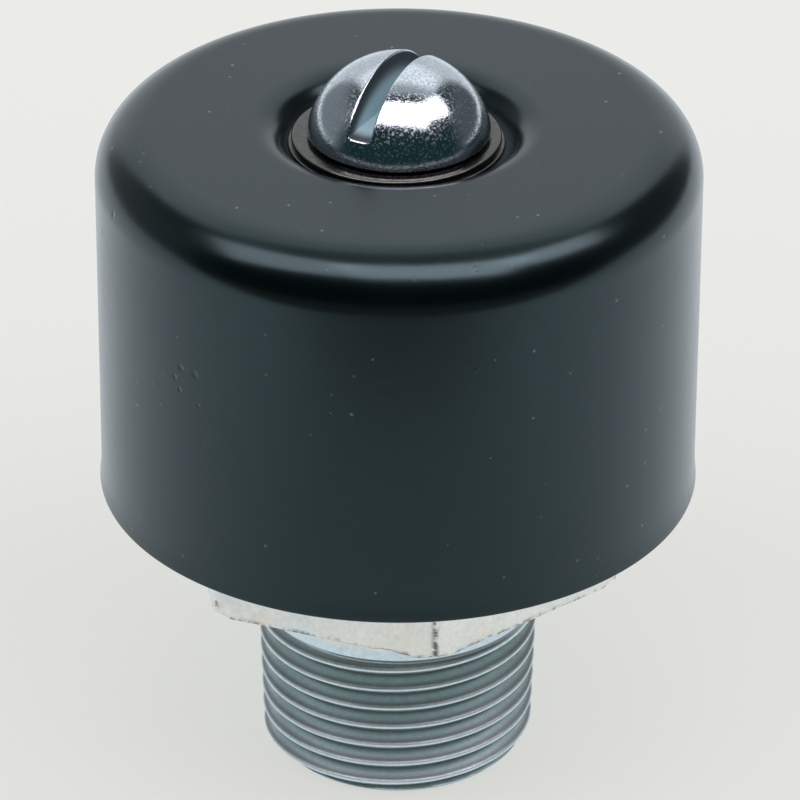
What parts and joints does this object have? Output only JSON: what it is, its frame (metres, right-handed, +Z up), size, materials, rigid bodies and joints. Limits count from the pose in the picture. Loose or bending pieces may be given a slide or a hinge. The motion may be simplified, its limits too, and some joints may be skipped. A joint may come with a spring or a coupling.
{
  "type": "breather vent cap",
  "caption": "Screw-in breather for a tank or gearbox: a black drawn-steel cap over a hexagon body with a taper-threaded spigot, held down by a slotted round-head screw.",
  "frame": {"origin": "on the axis, at the lower end of the threaded spigot", "axes": "+Z up the axis from the thread to the screw's head; two flats of the hexagon face +X and -X"},
  "size_m": [0.0356, 0.0356, 0.0454],
  "materials": {
    "body_zinc": "zinc plated, satin on the hexagon and bright on the thread's crests",
    "filter_wire": "knitted wire",
    "cap_paint": "satin black paint",
    "washer_steel": "dark steel with bright edges",
    "screw_zinc": "bright zinc plate"
  },
  "bodies": {
    "root": {"vent_body": "body_zinc", "filter_ring": "filter_wire", "cap": "cap_paint", "screw_washer": "washer_steel", "cap_screw": "screw_zinc"}
  },
  "joints": []
}
